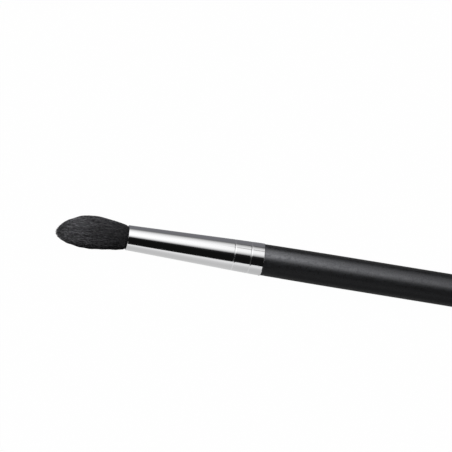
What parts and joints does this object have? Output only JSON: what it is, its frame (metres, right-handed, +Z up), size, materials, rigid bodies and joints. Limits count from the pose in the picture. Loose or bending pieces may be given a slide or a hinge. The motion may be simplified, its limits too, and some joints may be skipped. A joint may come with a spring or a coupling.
{
  "type": "eyeshadow brush",
  "caption": "Tapered eyeshadow blending brush: soft charcoal hair tuft in a bright conical metal ferrule, crimped to a slim satin black wooden handle.",
  "frame": {"origin": "on the surface that the brush lies on, below the middle of its box", "axes": "+X from the tuft's tip to the handle's tail, +Z up, -Y towards the side that the tuft's tip leans to"},
  "size_m": [0.1776, 0.0099, 0.01],
  "materials": {
    "hair": "soft charcoal hair, fine and slightly glossy along its length",
    "resin_soaked_hair": "hair packed solid and soaked with clear resin",
    "thread": "waxed cotton",
    "resin": "clear amber, poured",
    "plated_metal": "bright plating with faint drawing lines and crimp rings",
    "glue": "thin set film",
    "black_lacquer": "satin black lacquer with a fine grain over turned wood"
  },
  "bodies": {
    "root": {"bristle_tuft": "hair", "root_pack": "resin_soaked_hair", "tie_thread": "thread", "resin_plug": "resin", "ferrule": "plated_metal", "tenon_glue": "glue", "handle": "black_lacquer"}
  },
  "joints": []
}
